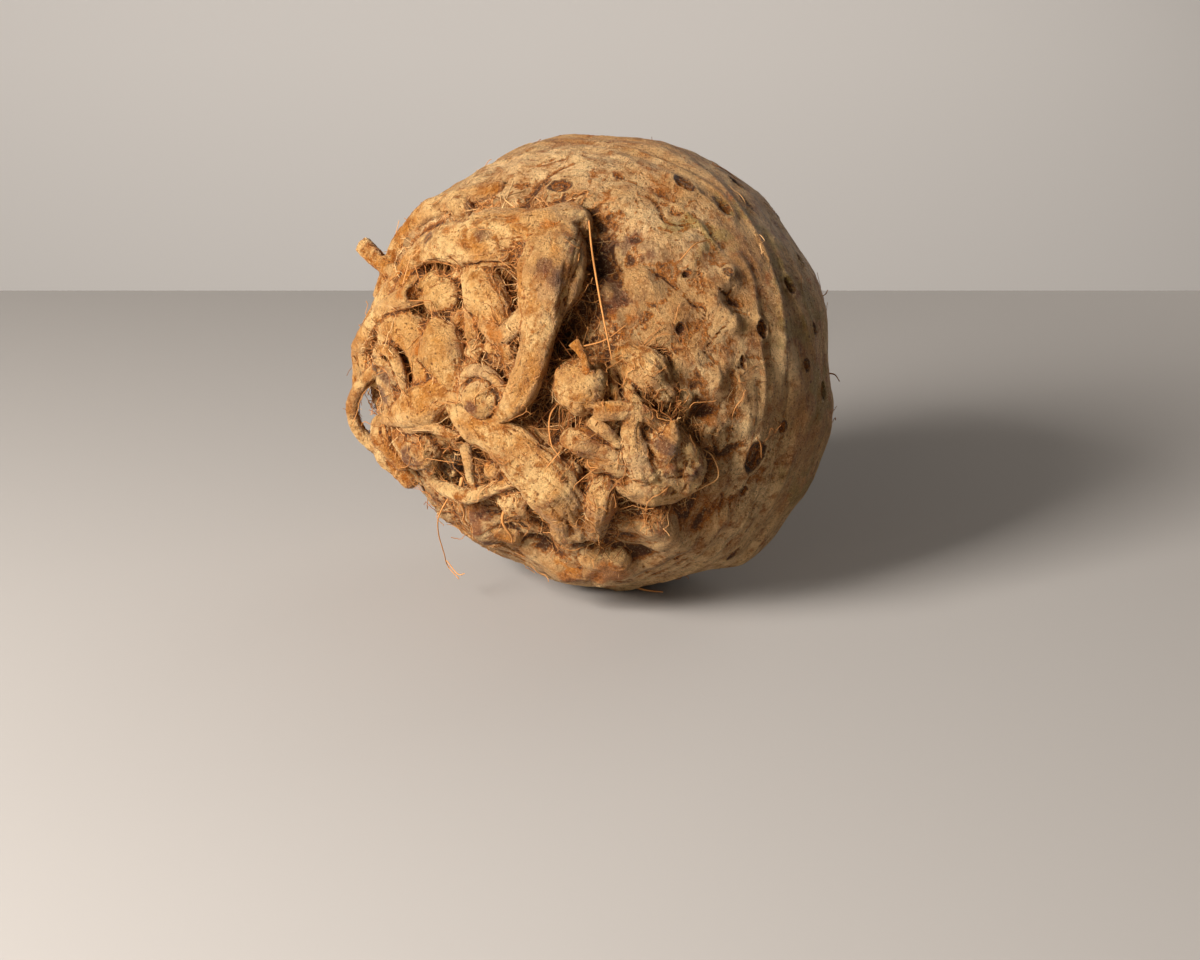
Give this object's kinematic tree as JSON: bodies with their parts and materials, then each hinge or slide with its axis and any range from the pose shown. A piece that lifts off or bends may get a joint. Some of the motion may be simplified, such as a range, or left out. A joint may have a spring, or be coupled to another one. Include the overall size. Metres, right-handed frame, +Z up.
{
  "type": "celeriac root",
  "caption": "Round celeriac bulb lying on a small flat spot, with a fused tangle of thick knobbly roots on one end and a trimmed leaf crown on the other.",
  "frame": {"origin": "on the resting surface, under the middle of the root's bounding box", "axes": "+Z up as it lies. The root end points to -Y and a little to -X, 32 degrees off -Y and 6 degrees up, and the leaf crown points the opposite way. X is the longest side of the box"},
  "size_m": [0.1167, 0.1126, 0.1097],
  "materials": {
    "skin": "matte"
  },
  "bodies": {
    "root": {"celeriac_root": "skin"}
  },
  "joints": []
}
